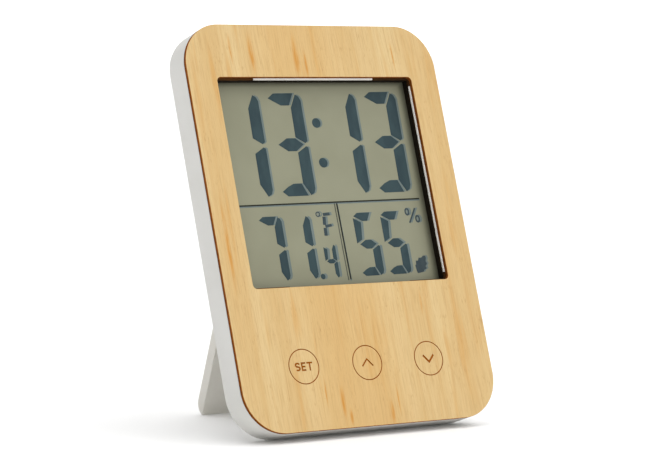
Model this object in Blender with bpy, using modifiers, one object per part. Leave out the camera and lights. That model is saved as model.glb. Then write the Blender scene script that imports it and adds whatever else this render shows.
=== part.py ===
"""Home weather station: a slim white desk case with a bamboo front panel, an LCD and three touch keys.

Every piece is modelled in the case's own upright frame: X to the right, Y from the front panel
towards the back, Z up along the case, with zero at the bottom centre of the panel's front face.
The empty "case_frame" then leans the case back onto its open stand, so that the bottom rear edge
and the foot of the stand touch the plane Z = 0, and the whole object is centred over the origin.
"""
import math

import bmesh
import bpy
from mathutils import Matrix, Vector

MM = 0.001

# Outline and depth of the case
WIDTH = 100.0 * MM
HEIGHT = 136.7 * MM
DEPTH = 11.2 * MM
CORNER = 14.6 * MM
WALL = 1.8 * MM
FRONT_WALL = (1.85 * MM, 3.2 * MM)
REAR_RIM = 0.8 * MM
SEAM = 0.25 * MM
CORNER_STEPS = 12

# How far a joined shape runs into the one it joins, and a cutter past the face it opens
OVERLAP = 0.3 * MM

# Bamboo panel, its adhesive sheet and the window
PANEL = (0.0, 1.3 * MM)
CASE_FRONT = 1.42 * MM
ADHESIVE = (1.45 * MM, 1.7 * MM)
ADHESIVE_INSET = 1.9 * MM
ADHESIVE_WINDOW_MARGIN = 3.5 * MM
WINDOW_HALF_WIDTH = 39.1 * MM
WINDOW_BOTTOM = 47.4 * MM
WINDOW_TOP = 118.6 * MM
WINDOW_CORNER = 1.5 * MM

# White lips of the case that show round the window, and the black gasket that holds them
LIP_DEPTH = (1.45 * MM, 2.15 * MM)
TOP_LIP_REACH = 0.55 * MM
SIDE_LIP_REACH = 0.35 * MM
BOTTOM_LIP_REACH = 0.3 * MM
LIP_CLEARANCE = 0.2 * MM
TOP_LIP_HALF = 24.0 * MM
SIDE_LIP_HALF = 32.8 * MM
GASKET = (1.5 * MM, 4.6 * MM)
GASKET_REACH = 0.5 * MM
GASKET_OUTER_MARGIN = 1.8 * MM
SEAT_MARGIN = 2.0 * MM
SEAT_DEPTH = 4.6 * MM

# Display glass, from the front to the back
POLARIZER = (4.75 * MM, 4.95 * MM)
FRONT_GLASS = (5.1 * MM, 6.1 * MM)
REAR_GLASS = (6.25 * MM, 7.25 * MM)
REFLECTOR = (7.4 * MM, 7.55 * MM)
GLASS_HALF_WIDTH = 42.4 * MM
GLASS_TOP = 122.2 * MM
GLASS_BOTTOM = 42.6 * MM
LEDGE_HEIGHT = 4.0 * MM
FILM_INSET = 0.6 * MM
WELL_GAP = 0.3 * MM
WELL_WALL = 1.3 * MM
WELL_DEPTH = 7.4 * MM
ZEBRA = (6.35 * MM, 7.65 * MM)
ZEBRA_HALF_LENGTH = 36.0 * MM
ZEBRA_HEIGHT = 2.4 * MM

# Circuit board and what it carries
BOARD = (7.9 * MM, 8.9 * MM)
BOARD_HALF_WIDTH = 37.5 * MM
BOARD_BOTTOM = 8.0 * MM
BOARD_TOP = 97.0 * MM
BOARD_CORNER = 2.0 * MM
BOARD_SCREWS = [(x * MM, z * MM) for x in (-34.0, 34.0) for z in (12.0, 38.6)]
BOARD_SCREW_SHANK = 4.4 * MM
COMPONENT_GAP = 0.25 * MM
COMPONENT_ROW = 33.5 * MM
CRYSTAL_RADIUS = 1.0 * MM
CRYSTAL_X = (11.0 * MM, 17.0 * MM)
CAPACITOR_RADIUS = 2.0 * MM
CAPACITOR_X = -14.5 * MM
HUMIDITY_PLATE = (9.2 * MM, 1.2 * MM, 10.4 * MM)
KEY_HEIGHT = 20.9 * MM
KEYS = {"set": -25.0 * MM, "up": 0.0, "down": 25.0 * MM}
KEY_SPRING_RADIUS = 3.4 * MM
KEY_SPRING_WIRE = 0.3 * MM
KEY_SPRING_GAP = 0.3 * MM
SENSOR_X = 31.5 * MM
SENSOR_Z = 30.0 * MM
SENSOR_WINDOW = (7.0 * MM, 8.4 * MM)

# Case screws, bosses and the wells of the rear cover
CASE_SCREWS = [(x * MM, z * MM) for x in (-42.3, 42.3) for z in (9.6, 127.1)]
CASE_SCREW_SHANK = 4.6 * MM
BOSS_RADIUS = 2.6 * MM
BOARD_BOSS_RADIUS = 2.2 * MM
SCREW_RADIUS = 0.9 * MM
SCREW_CLEARANCE = 0.3 * MM
HEAD_RADIUS = 2.1 * MM
HEAD_HEIGHT = 1.2 * MM
DRIVE_SLOT = (1.15 * MM, 0.28 * MM)
WAFER_HEAD_HEIGHT = 0.45 * MM
CUP_RADIUS = 3.7 * MM
CUP_FRONT = 7.6 * MM
CUP_FLOOR = 9.0 * MM

# Rear cover with its raised battery housing
COVER_PLATE = 1.5 * MM
COVER_INNER = DEPTH - COVER_PLATE
HOUSING_HALF_WIDTH = 29.0 * MM
HOUSING_BOTTOM = 99.0 * MM
HOUSING_TOP = 132.4 * MM
HOUSING_BACK = 22.4 * MM
HOUSING_CORNER = 4.0 * MM
HOUSING_RIM = 1.2 * MM
HOUSING_DRAFT = 0.6 * MM
TRAY_FRONT = 8.8 * MM
TRAY_FLOOR = 9.8 * MM
VENT_LENGTH = 11.0 * MM
VENT_HEIGHT = 1.4 * MM
VENT_PITCH = 2.9 * MM
VENT_COUNT = 5

# Two AAA cells and their contacts
CELL_RADIUS = 5.2 * MM
CELL_LENGTH = 43.6 * MM
CELL_NUB = 0.9 * MM
CELL_CLEARANCE = 0.3 * MM
CELL_Y = TRAY_FLOOR + CELL_RADIUS + CELL_CLEARANCE
CELL_Z = {"lower": 110.7 * MM, "upper": 121.9 * MM}
BAY_HALF_LENGTH = 25.4 * MM
BAY_MARGIN = 0.35 * MM
CONTACT_THICKNESS = 0.4 * MM
CONTACT_HALF_SIZE = 4.3 * MM
CONTACT_GAP = 0.3 * MM
CELL_SHIFT = 1.5 * MM
BATTERY_SPRING_WIRE = 0.3 * MM
BATTERY_SPRING_RADII = (3.3 * MM, 1.8 * MM)
WIRE_RADIUS = 0.4 * MM

# Battery door
DOOR_THICKNESS = 1.6 * MM
DOOR_LEDGE = 1.0 * MM
DOOR_GAP = 0.25 * MM
DOOR_CORNER = 1.6 * MM
DOOR_TAB = (5.0 * MM, 1.4 * MM, 1.0 * MM)
DOOR_TAB_X = (-15.0 * MM, 15.0 * MM)
LATCH_HALF = 4.0 * MM
LATCH_REACH = 1.6 * MM
LATCH_NOTCH_HALF = 6.0 * MM
LATCH_NOTCH_HEIGHT = 2.6 * MM
GRIP_GROOVES = 4
GRIP_HALF = 6.0 * MM
GRIP_PITCH = 1.5 * MM
GRIP_WIDTH = 0.7 * MM
GRIP_DEPTH = 0.45 * MM
GRIP_FROM_TOP = 8.0 * MM

# Stand and how far it opens
LEAN = math.radians(18.6)
STAND_OPEN = math.radians(38.5)
STAND_HALF_WIDTH = 23.5 * MM
STAND_THICKNESS = 4.2 * MM
STAND_REST_GAP = 0.4 * MM
STAND_HEEL = 3.4 * MM
STAND_STOP_GAP = 0.3 * MM
HEEL_ROUND = 1.2 * MM
FINGER_GRIP = (18.0 * MM, 0.7 * MM, 9.0 * MM)
FINGER_GRIP_HEIGHT = 12.0 * MM
HINGE_Y = DEPTH + STAND_REST_GAP + STAND_THICKNESS / 2
HINGE_Z = 91.8 * MM
PIN_RADIUS = 1.4 * MM
PIN_LENGTH = 2.6 * MM
PIN_CLEARANCE = 0.15 * MM
LUG_THICKNESS = 4.6 * MM
LUG_RADIUS = 3.4 * MM
LUG_GAP = 0.4 * MM

ORIGIN_HEIGHT = (DEPTH - REAR_RIM) * math.sin(LEAN) + REAR_RIM * (1 - math.cos(LEAN))
WINDOW_MIDDLE = (WINDOW_BOTTOM + WINDOW_TOP) / 2


def stand_length():
    """Length from the hinge axis to the foot that puts the foot's inner edge on Z = 0."""
    inner = -STAND_THICKNESS / 2
    depth = HINGE_Y + inner * math.cos(STAND_OPEN)
    height = HINGE_Z + inner * math.sin(STAND_OPEN)
    drop = height * math.cos(LEAN) - depth * math.sin(LEAN) + ORIGIN_HEIGHT
    return drop / math.cos(STAND_OPEN - LEAN)


STAND_LENGTH = stand_length()


def back_reach():
    """How far behind the panel's bottom front edge the rounded foot reaches, along the table."""
    inner = -STAND_THICKNESS / 2
    run = STAND_LENGTH - STAND_THICKNESS
    y = HINGE_Y + inner * math.cos(STAND_OPEN) + run * math.sin(STAND_OPEN)
    z = HINGE_Z + inner * math.sin(STAND_OPEN) - run * math.cos(STAND_OPEN)
    return y * math.cos(LEAN) + z * math.sin(LEAN) + STAND_THICKNESS


# Scene, materials and placing

def clear_scene():
    for obj in list(bpy.data.objects):
        bpy.data.objects.remove(obj)


def new_collection(name):
    collection = bpy.data.collections.new(name)
    bpy.context.scene.collection.children.link(collection)
    return collection


def finish(name, colour, roughness, metallic=0.0):
    material = bpy.data.materials.new(name + "_finish")
    material.use_nodes = True
    shader = material.node_tree.nodes["Principled BSDF"]
    shader.inputs["Base Color"].default_value = (*colour, 1.0)
    shader.inputs["Roughness"].default_value = roughness
    shader.inputs["Metallic"].default_value = metallic
    return material


WOOD = dict(colour=(0.73, 0.52, 0.26), roughness=0.6)
WHITE = dict(colour=(0.80, 0.80, 0.78), roughness=0.45)
BLACK = dict(colour=(0.02, 0.02, 0.02), roughness=0.8)
FILM = dict(colour=(0.29, 0.29, 0.20), roughness=0.25)
GLASS = dict(colour=(0.55, 0.60, 0.58), roughness=0.1)
GREEN = dict(colour=(0.03, 0.20, 0.08), roughness=0.5)
STEEL = dict(colour=(0.60, 0.60, 0.60), roughness=0.3, metallic=1.0)
JACKET = dict(colour=(0.05, 0.12, 0.30), roughness=0.35)
RED = dict(colour=(0.50, 0.03, 0.03), roughness=0.5)


def place(name, mesh, look, parent, group):
    """Adds the mesh as the sub-part's object, in its own material, under the parent empty."""
    mesh.name = name
    mesh.shade_smooth()
    mesh.set_sharp_from_angle(angle=math.radians(35))
    obj = bpy.data.objects.new(name, mesh)
    obj.parent = parent
    group["parts"].objects.link(obj)
    obj.data.materials.append(finish(name, **look))
    return obj


def tool(name, mesh, parent, group):
    """Adds a mesh that only shapes others: a cutter, or a body that a union joins on."""
    obj = bpy.data.objects.new(name, mesh)
    obj.parent = parent
    obj.hide_render = True
    obj.display_type = "WIRE"
    group["cutters"].objects.link(obj)
    return obj


def boolean(obj, other, operation):
    modifier = obj.modifiers.new(other.name, "BOOLEAN")
    modifier.object = other
    modifier.operation = operation
    modifier.solver = "EXACT"


def cut(obj, name, mesh, group):
    boolean(obj, tool(name, mesh, obj.parent, group), "DIFFERENCE")


def join(obj, name, mesh, group):
    boolean(obj, tool(name, mesh, obj.parent, group), "UNION")


# Shapes

def to_mesh(*shapes):
    """One mesh from one or more bmesh shapes, which are freed."""
    mesh = bpy.data.meshes.new("shape")
    joined = bmesh.new()
    for shape in shapes:
        part = bpy.data.meshes.new("part")
        shape.to_mesh(part)
        shape.free()
        joined.from_mesh(part)
        bpy.data.meshes.remove(part)
    joined.to_mesh(mesh)
    joined.free()
    return mesh


def round_rim(shape, y, radius, steps):
    """Rounds the outline of the shape's flat face at depth y."""
    rim = [e for e in shape.edges if all(abs(v.co.y - y) < 1e-6 for v in e.verts)]
    bmesh.ops.bevel(shape, geom=rim, offset=radius, segments=steps, profile=0.5, affect="EDGES")


def block(x, y, z, corner=0.0, steps=8, draft=0.0):
    """A box over three ranges. corner rounds its edges along Y, draft narrows its rear face."""
    shape = bmesh.new()
    bmesh.ops.create_cube(shape, size=1.0)
    size = Vector((x[1] - x[0], y[1] - y[0], z[1] - z[0]))
    middle = Vector(((x[0] + x[1]) / 2, (y[0] + y[1]) / 2, (z[0] + z[1]) / 2))
    bmesh.ops.scale(shape, vec=size, verts=shape.verts)
    for vert in shape.verts:
        if vert.co.y > 0:
            vert.co.x *= 1 - 2 * draft / size.x
            vert.co.z *= 1 - 2 * draft / size.z
    bmesh.ops.translate(shape, vec=middle, verts=shape.verts)
    if corner:
        along_y = [e for e in shape.edges
                   if abs(e.verts[0].co.y - e.verts[1].co.y) > size.y / 2]
        bmesh.ops.bevel(shape, geom=along_y, offset=corner, segments=steps, profile=0.5,
                        affect="EDGES")
    return shape


def rod(radius, y, x=0.0, z=0.0, sides=24, tip=None):
    """A cylinder along Y over the range y, or a cone when its rear radius, tip, is given."""
    shape = bmesh.new()
    bmesh.ops.create_cone(shape, cap_ends=True, segments=sides, radius1=radius,
                          radius2=radius if tip is None else tip, depth=y[1] - y[0])
    turn = Matrix.Rotation(math.radians(-90), 4, "X")
    move = Matrix.Translation((x, (y[0] + y[1]) / 2, z))
    bmesh.ops.transform(shape, matrix=move @ turn, verts=shape.verts)
    return shape


def cross_rod(radius, x, y=0.0, z=0.0, sides=24):
    """A cylinder along X over the range x."""
    shape = bmesh.new()
    bmesh.ops.create_cone(shape, cap_ends=True, segments=sides, radius1=radius,
                          radius2=radius, depth=x[1] - x[0])
    turn = Matrix.Rotation(math.radians(90), 4, "Y")
    move = Matrix.Translation(((x[0] + x[1]) / 2, y, z))
    bmesh.ops.transform(shape, matrix=move @ turn, verts=shape.verts)
    return shape


def turned(profile, sides=24):
    """A closed solid turned about the Z axis from an open profile of (radius, height) points."""
    mesh = bpy.data.meshes.new("profile")
    shape = bmesh.new()
    verts = [shape.verts.new((radius, 0.0, height)) for radius, height in profile]
    for first, second in zip(verts, verts[1:]):
        shape.edges.new((first, second))
    shape.to_mesh(mesh)
    shape.free()
    holder = bpy.data.objects.new("profile", mesh)
    bpy.context.scene.collection.objects.link(holder)
    screw = holder.modifiers.new("turn", "SCREW")
    screw.steps = sides
    screw.render_steps = sides
    screw.use_merge_vertices = True
    screw.merge_threshold = 0.00001
    return evaluated(holder)


def evaluated(holder):
    """The mesh of a helper object with its modifiers or curve settings, as a closed solid."""
    bpy.context.view_layer.update()
    graph = bpy.context.evaluated_depsgraph_get()
    mesh = bpy.data.meshes.new_from_object(holder.evaluated_get(graph))
    shape = bmesh.new()
    shape.from_mesh(mesh)
    bmesh.ops.remove_doubles(shape, verts=shape.verts, dist=0.000001)
    bmesh.ops.recalc_face_normals(shape, faces=shape.faces)
    bpy.data.objects.remove(holder)
    bpy.data.meshes.remove(mesh)
    return shape


def tube(points, radius):
    """A round wire along the points, with closed ends."""
    curve = bpy.data.curves.new("wire", "CURVE")
    curve.dimensions = "3D"
    curve.bevel_depth = radius
    curve.bevel_resolution = 2
    curve.use_fill_caps = True
    spline = curve.splines.new("POLY")
    spline.points.add(len(points) - 1)
    for target, point in zip(spline.points, points):
        target.co = (*point, 1.0)
    holder = bpy.data.objects.new("wire", curve)
    bpy.context.scene.collection.objects.link(holder)
    return evaluated(holder)


def slab(outline, half_width):
    """A flat outline of (y, z) points, filled and extruded along X to both sides."""
    curve = bpy.data.curves.new("outline", "CURVE")
    curve.dimensions = "2D"
    curve.fill_mode = "BOTH"
    curve.extrude = half_width
    spline = curve.splines.new("POLY")
    spline.points.add(len(outline) - 1)
    for target, (y, z) in zip(spline.points, outline):
        target.co = (y, z, 0.0, 1.0)
    spline.use_cyclic_u = True
    holder = bpy.data.objects.new("outline", curve)
    bpy.context.scene.collection.objects.link(holder)
    shape = evaluated(holder)
    # The outline's own x, y and z become the case's y, z and x.
    turn = Matrix(((0, 0, 1, 0), (1, 0, 0, 0), (0, 1, 0, 0), (0, 0, 0, 1)))
    bmesh.ops.transform(shape, matrix=turn, verts=shape.verts)
    bmesh.ops.recalc_face_normals(shape, faces=shape.faces)
    return shape


def helix(radius, start, end, turns, steps, end_radius=None):
    """Points of a coil about the Z axis from height start to height end."""
    last = radius if end_radius is None else end_radius
    points = []
    for i in range(int(turns * steps) + 1):
        share = i / (turns * steps)
        angle = 2 * math.pi * i / steps
        r = radius + (last - radius) * share
        points.append((r * math.cos(angle), r * math.sin(angle), start + (end - start) * share))
    return points


def window_block(y, margin, corner=0.0):
    """A block over the window's outline, grown by the margin on every side."""
    return block((-WINDOW_HALF_WIDTH - margin, WINDOW_HALF_WIDTH + margin), y,
                 (WINDOW_BOTTOM - margin, WINDOW_TOP + margin), corner, steps=4)


def outline_block(y, inset, steps=CORNER_STEPS):
    """A block over the case's rounded outline, drawn in by the inset on every side."""
    return block((inset - WIDTH / 2, WIDTH / 2 - inset), y, (inset, HEIGHT - inset),
                 CORNER - inset, steps)


# Front of the case

def build_front_panel(frame, group):
    panel = place("front_panel", to_mesh(outline_block(PANEL, 0.0)), WOOD, frame, group)
    window = window_block((-MM, PANEL[1] + MM), 0.0, WINDOW_CORNER)
    cut(panel, "panel_window", to_mesh(window), group)


def build_panel_adhesive(frame, group):
    sheet = place("panel_adhesive", to_mesh(outline_block(ADHESIVE, ADHESIVE_INSET)),
                  WHITE, frame, group)
    window = window_block((0.0, ADHESIVE[1] + MM), ADHESIVE_WINDOW_MARGIN)
    cut(sheet, "adhesive_window", to_mesh(window), group)


def window_lips(margin=0.0):
    """The four thin white tongues that reach a little way into the window, grown by the margin."""
    root = SEAT_MARGIN + OVERLAP + margin
    depth = (LIP_DEPTH[0] - margin, LIP_DEPTH[1] + margin)
    side = (WINDOW_MIDDLE - SIDE_LIP_HALF - margin, WINDOW_MIDDLE + SIDE_LIP_HALF + margin)
    across = (-TOP_LIP_HALF - margin, TOP_LIP_HALF + margin)
    half, inner = WINDOW_HALF_WIDTH, WINDOW_HALF_WIDTH - SIDE_LIP_REACH - margin
    top, bottom = WINDOW_TOP - TOP_LIP_REACH - margin, WINDOW_BOTTOM + BOTTOM_LIP_REACH + margin
    return [block((-half - root, -inner), depth, side),
            block((inner, half + root), depth, side),
            block(across, depth, (WINDOW_BOTTOM - root, bottom)),
            block(across, depth, (top, WINDOW_TOP + root))]


def build_front_case(frame, group):
    shell = outline_block((CASE_FRONT, DEPTH), 0.0)
    round_rim(shell, DEPTH, REAR_RIM, 3)
    case = place("front_case", to_mesh(shell), WHITE, frame, group)
    cavity = outline_block((FRONT_WALL[1], DEPTH + MM), WALL)
    cut(case, "case_cavity", to_mesh(cavity), group)

    bosses = [rod(BOSS_RADIUS, (FRONT_WALL[1] - OVERLAP, CUP_FRONT - OVERLAP), x, z)
              for x, z in CASE_SCREWS]
    bosses += [rod(BOARD_BOSS_RADIUS, (FRONT_WALL[1] - OVERLAP, BOARD[0] - 0.2 * MM), x, z)
               for x, z in BOARD_SCREWS]
    join(case, "case_bosses", to_mesh(*bosses), group)
    well_x = GLASS_HALF_WIDTH + WELL_GAP
    well_z = (GLASS_BOTTOM - WELL_GAP, GLASS_TOP + WELL_GAP)
    frame_block = block((-well_x - WELL_WALL, well_x + WELL_WALL),
                        (FRONT_WALL[1] - OVERLAP, WELL_DEPTH),
                        (well_z[0] - WELL_WALL, well_z[1] + WELL_WALL))
    join(case, "display_frame", to_mesh(frame_block), group)

    cut(case, "display_well", to_mesh(block((-well_x, well_x), (SEAT_DEPTH, DEPTH), well_z)),
        group)
    cut(case, "case_window", to_mesh(window_block((0.0, DEPTH), SEAT_MARGIN)), group)
    pocket = outline_block((0.0, FRONT_WALL[0]), ADHESIVE_INSET - 0.2 * MM)
    cut(case, "adhesive_pocket", to_mesh(pocket), group)
    pilot = SCREW_RADIUS + SCREW_CLEARANCE
    pilots = [rod(pilot, (FRONT_WALL[1] + 0.4 * MM, DEPTH), x, z, sides=16)
              for x, z in CASE_SCREWS + BOARD_SCREWS]
    cut(case, "screw_pilots", to_mesh(*pilots), group)
    join(case, "window_lips", to_mesh(*window_lips()), group)


def build_gasket(frame, group):
    ring = place("lcd_gasket", to_mesh(window_block(GASKET, GASKET_OUTER_MARGIN)), BLACK,
                 frame, group)
    opening = window_block((0.0, SEAT_DEPTH + MM), -GASKET_REACH)
    cut(ring, "gasket_opening", to_mesh(opening), group)
    cut(ring, "gasket_notches", to_mesh(*window_lips(LIP_CLEARANCE)), group)


# Display

def build_display(frame, group):
    inner = GLASS_HALF_WIDTH - FILM_INSET
    rear_bottom = GLASS_BOTTOM + LEDGE_HEIGHT
    layers = {
        "lcd_front_polarizer": (inner, POLARIZER, rear_bottom, GLASS_TOP - FILM_INSET, FILM),
        "lcd_front_glass": (GLASS_HALF_WIDTH, FRONT_GLASS, GLASS_BOTTOM, GLASS_TOP, GLASS),
        "lcd_rear_glass": (GLASS_HALF_WIDTH, REAR_GLASS, rear_bottom, GLASS_TOP, GLASS),
        "lcd_reflector": (inner, REFLECTOR, rear_bottom + FILM_INSET, GLASS_TOP - FILM_INSET,
                          FILM),
    }
    for name, (half, depth, bottom, top, look) in layers.items():
        sheet = block((-half, half), depth, (bottom, top))
        place(name, to_mesh(sheet), look, frame, group)
    strip_bottom = GLASS_BOTTOM + 0.5 * MM
    strip = block((-ZEBRA_HALF_LENGTH, ZEBRA_HALF_LENGTH), ZEBRA,
                  (strip_bottom, strip_bottom + ZEBRA_HEIGHT), 0.4 * MM, steps=2)
    place("zebra_strip", to_mesh(strip), BLACK, frame, group)


# Electronics

def build_circuit_board(frame, group):
    board = block((-BOARD_HALF_WIDTH, BOARD_HALF_WIDTH), BOARD, (BOARD_BOTTOM, BOARD_TOP),
                  BOARD_CORNER, steps=3)
    board = place("circuit_board", to_mesh(board), GREEN, frame, group)
    through = (BOARD[0] - MM, BOARD[1] + MM)
    holes = [rod(SCREW_RADIUS + SCREW_CLEARANCE, through, x, z, sides=16)
             for x, z in BOARD_SCREWS]
    for side in (-1, 1):
        x = side * SENSOR_X
        holes.append(block((x - SENSOR_WINDOW[0] / 2, x + SENSOR_WINDOW[0] / 2), through,
                           (SENSOR_Z - SENSOR_WINDOW[1] / 2, SENSOR_Z + SENSOR_WINDOW[1] / 2)))
    cut(board, "board_openings", to_mesh(*holes), group)


def build_components(frame, group):
    face = BOARD[0] - COMPONENT_GAP
    blob = turned([(0.0, 0.0), (5.6 * MM, 0.0), (5.2 * MM, 0.7 * MM), (3.8 * MM, 1.3 * MM),
                   (0.0, 1.6 * MM)])
    chip = place("controller_chip", to_mesh(blob), BLACK, frame, group)
    chip.rotation_euler.x = math.radians(90)
    chip.location = (0.0, face, COMPONENT_ROW)

    crystal = cross_rod(CRYSTAL_RADIUS, CRYSTAL_X, face - CRYSTAL_RADIUS, COMPONENT_ROW, sides=16)
    place("clock_crystal", to_mesh(crystal), STEEL, frame, group)

    can = rod(CAPACITOR_RADIUS, (FRONT_WALL[1] + 0.4 * MM, face), CAPACITOR_X, COMPONENT_ROW,
              sides=20)
    place("smoothing_capacitor", to_mesh(can), BLACK, frame, group)

    wide, thick, tall = HUMIDITY_PLATE
    plate = block((SENSOR_X - wide / 2, SENSOR_X + wide / 2), (face - thick, face),
                  (SENSOR_Z - tall / 2, SENSOR_Z + tall / 2), 0.5 * MM, steps=2)
    place("humidity_sensor", to_mesh(plate), WHITE, frame, group)

    bead = turned([(0.0, 1.5 * MM), (0.9 * MM, 1.1 * MM), (1.3 * MM, 0.2 * MM),
                   (0.6 * MM, -1.4 * MM), (0.35 * MM, -4.6 * MM), (0.0, -4.6 * MM)], sides=16)
    thermistor = place("thermistor", to_mesh(bead), BLACK, frame, group)
    thermistor.location = (-SENSOR_X, (BOARD[0] + BOARD[1]) / 2, SENSOR_Z + 1.4 * MM)


def build_touch_springs(frame, group):
    front = FRONT_WALL[1] + KEY_SPRING_GAP + KEY_SPRING_WIRE
    rear = BOARD[0] - KEY_SPRING_GAP - KEY_SPRING_WIRE
    coil = helix(KEY_SPRING_RADIUS, 0.0, rear - front, turns=3.0, steps=11)
    for key, x in KEYS.items():
        spring = place("touch_spring_" + key, to_mesh(tube(coil, KEY_SPRING_WIRE)), STEEL,
                       frame, group)
        spring.rotation_euler.x = math.radians(90)
        spring.location = (x, rear, KEY_HEIGHT)


def screw_mesh(shank, head):
    """A cross-head screw along Z: head at the top, its underside at Z = 0."""
    profile = [(0.0, head), (HEAD_RADIUS - 0.5 * MM, head),
               (HEAD_RADIUS, head * 0.65), (HEAD_RADIUS, 0.0),
               (SCREW_RADIUS, 0.0), (SCREW_RADIUS, 0.4 * MM - shank), (0.0, -shank)]
    return to_mesh(turned(profile, sides=16))


def place_screw(name, shank, head, x, y, z, frame, group):
    """Drives a screw forwards, with the underside of its head at depth y."""
    screw = place(name, screw_mesh(shank, head), STEEL, frame, group)
    screw.rotation_euler.x = math.radians(-90)
    screw.location = (x, y, z)
    top = (y + head / 2, y + head + MM)
    for label, half_x, half_z in (("wide", *DRIVE_SLOT), ("tall", *reversed(DRIVE_SLOT))):
        recess = block((x - half_x, x + half_x), top, (z - half_z, z + half_z))
        cutter = tool(name + "_" + label, to_mesh(recess), frame, group)
        boolean(screw, cutter, "DIFFERENCE")


def build_screws(frame, group):
    for number, (x, z) in enumerate(CASE_SCREWS, start=1):
        place_screw(f"case_screw_{number}", CASE_SCREW_SHANK, HEAD_HEIGHT, x,
                    CUP_FLOOR + 0.2 * MM, z, frame, group)
    for number, (x, z) in enumerate(BOARD_SCREWS, start=1):
        place_screw(f"board_screw_{number}", BOARD_SCREW_SHANK, WAFER_HEAD_HEIGHT, x,
                    BOARD[1] + 0.15 * MM, z, frame, group)


# Batteries

def build_cells(frame, group):
    body, nub = CELL_RADIUS, 1.9 * MM
    half = CELL_LENGTH / 2
    profile = [(0.0, half + CELL_NUB), (nub, half + CELL_NUB), (nub, half),
               (body - 0.5 * MM, half), (body, half - 0.5 * MM), (body, 0.6 * MM - half),
               (body - 0.6 * MM, -half), (0.0, -half)]
    for name, side in (("lower", 1), ("upper", -1)):
        cell = place("battery_" + name, to_mesh(turned(profile, sides=28)), JACKET, frame, group)
        cell.rotation_euler.y = math.radians(90 * side)
        cell.location = (side * CELL_SHIFT, CELL_Y, CELL_Z[name])


def contact_plate(side, low, high):
    """A flat metal contact against the end wall of the battery bay."""
    outer = BAY_HALF_LENGTH - 0.2 * MM
    x = sorted((side * outer, side * (outer - CONTACT_THICKNESS)))
    y = (CELL_Y - CONTACT_HALF_SIZE, CELL_Y + CONTACT_HALF_SIZE)
    return block(x, y, (low - CONTACT_HALF_SIZE, high + CONTACT_HALF_SIZE))


def build_contacts(frame, group):
    lower, upper = CELL_Z["lower"], CELL_Z["upper"]
    plates = {"contact_plate_negative": (-1, lower, lower),
              "contact_plate_positive": (-1, upper, upper),
              "contact_bridge": (1, lower, upper)}
    for name, (side, low, high) in plates.items():
        place(name, to_mesh(contact_plate(side, low, high)), STEEL, frame, group)
    wire = BATTERY_SPRING_WIRE
    plate_face = BAY_HALF_LENGTH - 0.2 * MM - CONTACT_THICKNESS - CONTACT_GAP - wire
    cell_face = CELL_LENGTH / 2 - CELL_SHIFT + CONTACT_GAP + wire
    wide, narrow = BATTERY_SPRING_RADII
    coil = helix(wide, plate_face, cell_face, turns=3.0, steps=11, end_radius=narrow)
    for name, side in (("lower", -1), ("upper", 1)):
        spring = place("battery_spring_" + name, to_mesh(tube(coil, wire)), STEEL, frame, group)
        spring.rotation_euler.y = math.radians(90 * side)
        spring.location = (0.0, CELL_Y, CELL_Z[name])


def wire_route(x, start_z):
    """A lead from a contact, through the tray floor and down behind the glass to the board."""
    behind = (REFLECTOR[1] + TRAY_FRONT) / 2
    start = Vector((x, TRAY_FLOOR + 0.7 * MM, start_z))
    bend = Vector((x, behind, start_z - 1.2 * MM))
    points = [start, Vector((x, TRAY_FRONT + 0.4 * MM, start_z)),
              Vector((x, behind + 0.25 * MM, start_z - 0.4 * MM)), bend]
    end_z = BOARD_TOP + 0.4 * MM
    points += [bend.lerp(Vector((x, behind, end_z)), i / 3) for i in (1, 2, 3)]
    return points


LEADS = {"battery_wire_black": (-23.4 * MM, CELL_Z["lower"] - 4.0 * MM, BLACK),
         "battery_wire_red": (-21.6 * MM, CELL_Z["upper"] + 4.0 * MM, RED)}


def build_wires(frame, group):
    for name, (x, z, look) in LEADS.items():
        place(name, to_mesh(tube(wire_route(x, z), WIRE_RADIUS)), look, frame, group)


# Rear cover, battery door and stand

def bay_z():
    return (CELL_Z["lower"] - CELL_RADIUS - BAY_MARGIN, CELL_Z["upper"] + CELL_RADIUS + BAY_MARGIN)


def door_ranges(gap):
    """X and Z ranges of the battery door's opening, drawn in by the gap."""
    low, high = bay_z()
    half = BAY_HALF_LENGTH + DOOR_LEDGE - gap
    return (-half, half), (low - DOOR_LEDGE + gap, high + DOOR_LEDGE - gap)


def lug_outline():
    """Side view of a hinge lug: a round nose about the hinge axis on a straight root."""
    root = COVER_INNER + 0.4 * MM
    nose = [(HINGE_Y + LUG_RADIUS * math.cos(a), HINGE_Z + LUG_RADIUS * math.sin(a))
            for a in (math.radians(-100 + 190 * i / 10) for i in range(11))]
    return ([(root, HINGE_Z - LUG_RADIUS - 2.0 * MM)] + nose
            + [(HINGE_Y + 0.4 * MM, HOUSING_BOTTOM + 2.0 * MM), (root, HOUSING_BOTTOM + 2.0 * MM)])


def lug(side):
    inner = STAND_HALF_WIDTH + LUG_GAP
    shape = slab(lug_outline(), LUG_THICKNESS / 2)
    shift = Vector((side * (inner + LUG_THICKNESS / 2), 0.0, 0.0))
    bmesh.ops.translate(shape, vec=shift, verts=shape.verts)
    return shape


def cover_openings():
    """The vents, and the holes that let the battery leads through the tray floor."""
    holes = []
    first = SENSOR_Z - VENT_PITCH * (VENT_COUNT - 1) / 2
    for side in (-1, 1):
        for i in range(VENT_COUNT):
            z, x = first + i * VENT_PITCH, side * SENSOR_X
            holes.append(block((x - VENT_LENGTH / 2, x + VENT_LENGTH / 2),
                               (COVER_INNER - MM, DEPTH + MM),
                               (z - VENT_HEIGHT / 2, z + VENT_HEIGHT / 2)))
    for x, z, _ in LEADS.values():
        hole = WIRE_RADIUS + 0.4 * MM
        holes.append(block((x - hole, x + hole), (TRAY_FRONT - MM, TRAY_FLOOR + 0.5 * MM),
                           (z - hole - 1.2 * MM, z + hole)))
    return holes


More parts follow.
